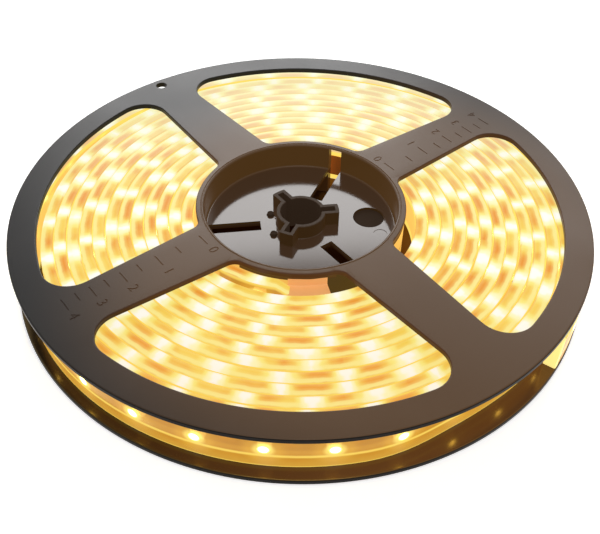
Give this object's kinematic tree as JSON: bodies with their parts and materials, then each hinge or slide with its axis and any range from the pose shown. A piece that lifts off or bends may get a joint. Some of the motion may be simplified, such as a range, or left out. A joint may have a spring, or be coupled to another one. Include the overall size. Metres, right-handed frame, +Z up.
{
  "type": "led strip light reel",
  "caption": "Flat plastic reel with windowed flanges and a keyed hollow hub, wound with a clear-sleeved flexible strip of LED lights.",
  "frame": {"origin": "middle of the lower flange's underside, on the reel's axis", "axes": "+Z up along the reel's axis, -Y towards the viewer of the picture"},
  "size_m": [0.178, 0.178, 0.0192],
  "materials": {
    "reel_plastic": "satin dark brown-grey injection moulding, glossy on the hub's web",
    "lit_silicone": "clear silicone lit from inside in warm yellow and amber",
    "circuit": "white coated flexible circuit with warm white emitters",
    "silicone_cap": "translucent silicone",
    "tan_tape": "tan film tape, satin"
  },
  "bodies": {
    "root": {"upper_half": "reel_plastic", "lower_half": "reel_plastic", "silicone_sleeve": "lit_silicone", "flex_circuit": "circuit", "inner_end_cap": "silicone_cap", "outer_end_cap": "silicone_cap", "retaining_tape": "tan_tape"}
  },
  "joints": []
}
